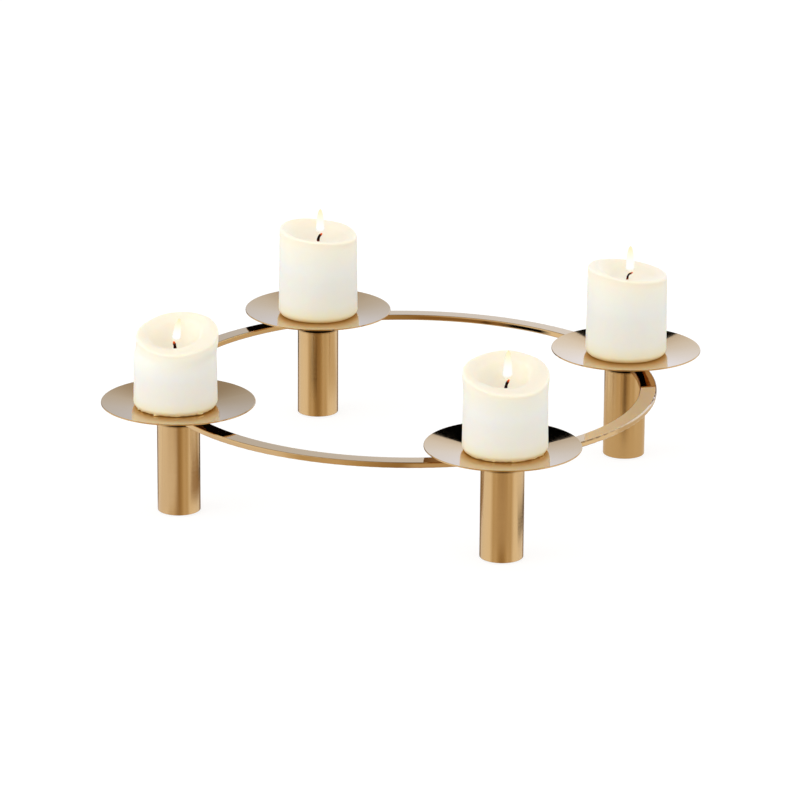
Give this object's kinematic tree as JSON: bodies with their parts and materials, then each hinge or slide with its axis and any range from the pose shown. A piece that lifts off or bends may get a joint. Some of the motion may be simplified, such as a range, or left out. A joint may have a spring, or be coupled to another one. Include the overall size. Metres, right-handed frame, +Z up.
{
  "type": "advent candle holder",
  "caption": "Flat metal ring on tube posts, each post with a dished drip plate, a candle spike and a part-burnt pillar candle that lifts off, for the candles lit before Christmas.",
  "frame": {"origin": "on the table under the ring's centre, level with the underside of the felt pads", "axes": "+Z up; the first stand is on +X and the others follow counter-clockwise on +Y, -X and -Y"},
  "size_m": [0.4499, 0.45, 0.1426],
  "materials": {
    "polished_brass": "polished",
    "satin_brass": "satin, brushed round the post",
    "plated_steel": "turned and plated",
    "moulded_plastic": "moulded, matte",
    "felt": "pressed felt",
    "ivory_wax": "translucent candle wax, satin",
    "cotton_wick": "braided cotton, charred above the wax"
  },
  "bodies": {
    "holder": {"ring": "polished_brass", "felt_pad_1": "felt", "end_plug_1": "moulded_plastic", "post_tube_1": "satin_brass", "post_head_1": "satin_brass", "drip_plate_1": "polished_brass", "candle_spike_1": "plated_steel", "felt_pad_2": "felt", "end_plug_2": "moulded_plastic", "post_tube_2": "satin_brass", "post_head_2": "satin_brass", "drip_plate_2": "polished_brass", "candle_spike_2": "plated_steel", "felt_pad_3": "felt", "end_plug_3": "moulded_plastic", "post_tube_3": "satin_brass", "post_head_3": "satin_brass", "drip_plate_3": "polished_brass", "candle_spike_3": "plated_steel", "felt_pad_4": "felt", "end_plug_4": "moulded_plastic", "post_tube_4": "satin_brass", "post_head_4": "satin_brass", "drip_plate_4": "polished_brass", "candle_spike_4": "plated_steel"},
    "candle_1": {"pillar_candle_1": "ivory_wax", "wick_1": "cotton_wick"},
    "candle_2": {"pillar_candle_2": "ivory_wax", "wick_2": "cotton_wick"},
    "candle_3": {"pillar_candle_3": "ivory_wax", "wick_3": "cotton_wick"},
    "candle_4": {"pillar_candle_4": "ivory_wax", "wick_4": "cotton_wick"}
  },
  "joints": [
    {"name": "candle_1_lift", "type": "slide", "parent": "holder", "child": "candle_1", "axis": [0, 0, 1], "range_m": [0, 0.1]},
    {"name": "candle_2_lift", "type": "slide", "parent": "holder", "child": "candle_2", "axis": [0, 0, 1], "range_m": [0, 0.1]},
    {"name": "candle_3_lift", "type": "slide", "parent": "holder", "child": "candle_3", "axis": [0, 0, 1], "range_m": [0, 0.1]},
    {"name": "candle_4_lift", "type": "slide", "parent": "holder", "child": "candle_4", "axis": [0, 0, 1], "range_m": [0, 0.1]}
  ]
}
